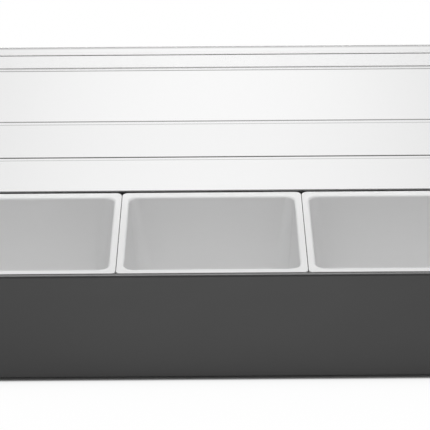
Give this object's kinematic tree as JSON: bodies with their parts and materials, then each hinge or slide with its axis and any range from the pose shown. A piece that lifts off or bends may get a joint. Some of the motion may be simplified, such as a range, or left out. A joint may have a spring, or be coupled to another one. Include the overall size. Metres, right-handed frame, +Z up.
{
  "type": "bar garnish tray",
  "caption": "Long dark grey counter-top tub holding lift-out white inserts in a row, under a clear faceted lid that swings back on end pins.",
  "frame": {"origin": "centre of the tub's footprint, on the plane of the four feet", "axes": "+X to the right along the row of inserts, +Y from the front wall to the lid's hinge side, +Z up"},
  "size_m": [0.4684, 0.2023, 0.2152],
  "materials": {
    "tub_plastic": "fine satin moulded surface, dark grey",
    "insert_plastic": "smooth semi-gloss white",
    "lid_clear": "clear polished sheet plastic",
    "pin_plastic": "smooth black moulded plastic",
    "washer_plastic": "natural white nylon",
    "foot_rubber": "matte black rubber"
  },
  "bodies": {
    "tray": {"base": "tub_plastic", "pivot_washer_left": "washer_plastic", "pivot_washer_right": "washer_plastic", "foot_front_left": "foot_rubber", "foot_front_right": "foot_rubber", "foot_rear_left": "foot_rubber", "foot_rear_right": "foot_rubber"},
    "lid": {"lid_shell": "lid_clear", "lid_end_left": "lid_clear", "lid_end_right": "lid_clear"},
    "insert_left": {"insert_left": "insert_plastic"},
    "insert_middle": {"insert_middle": "insert_plastic"},
    "insert_right": {"insert_right": "insert_plastic"},
    "pin_left": {"pivot_pin_left": "pin_plastic"},
    "pin_right": {"pivot_pin_right": "pin_plastic"}
  },
  "joints": [
    {"name": "lid_hinge", "type": "hinge", "parent": "tray", "child": "lid", "pos_m": [0, 0.0611, 0.07553], "axis": [-1, 0, 0], "range_deg": [-96, 0]},
    {"name": "insert_left_lift", "type": "slide", "parent": "tray", "child": "insert_left", "axis": [0, 0, 1], "range_m": [0, 0.1]},
    {"name": "insert_middle_lift", "type": "slide", "parent": "tray", "child": "insert_middle", "axis": [0, 0, 1], "range_m": [0, 0.1]},
    {"name": "insert_right_lift", "type": "slide", "parent": "tray", "child": "insert_right", "axis": [0, 0, 1], "range_m": [0, 0.1]},
    {"name": "pin_left_pull", "type": "slide", "parent": "tray", "child": "pin_left", "axis": [-1, 0, 0], "range_m": [0, 0.014]},
    {"name": "pin_right_pull", "type": "slide", "parent": "tray", "child": "pin_right", "axis": [1, 0, 0], "range_m": [0, 0.014]}
  ]
}
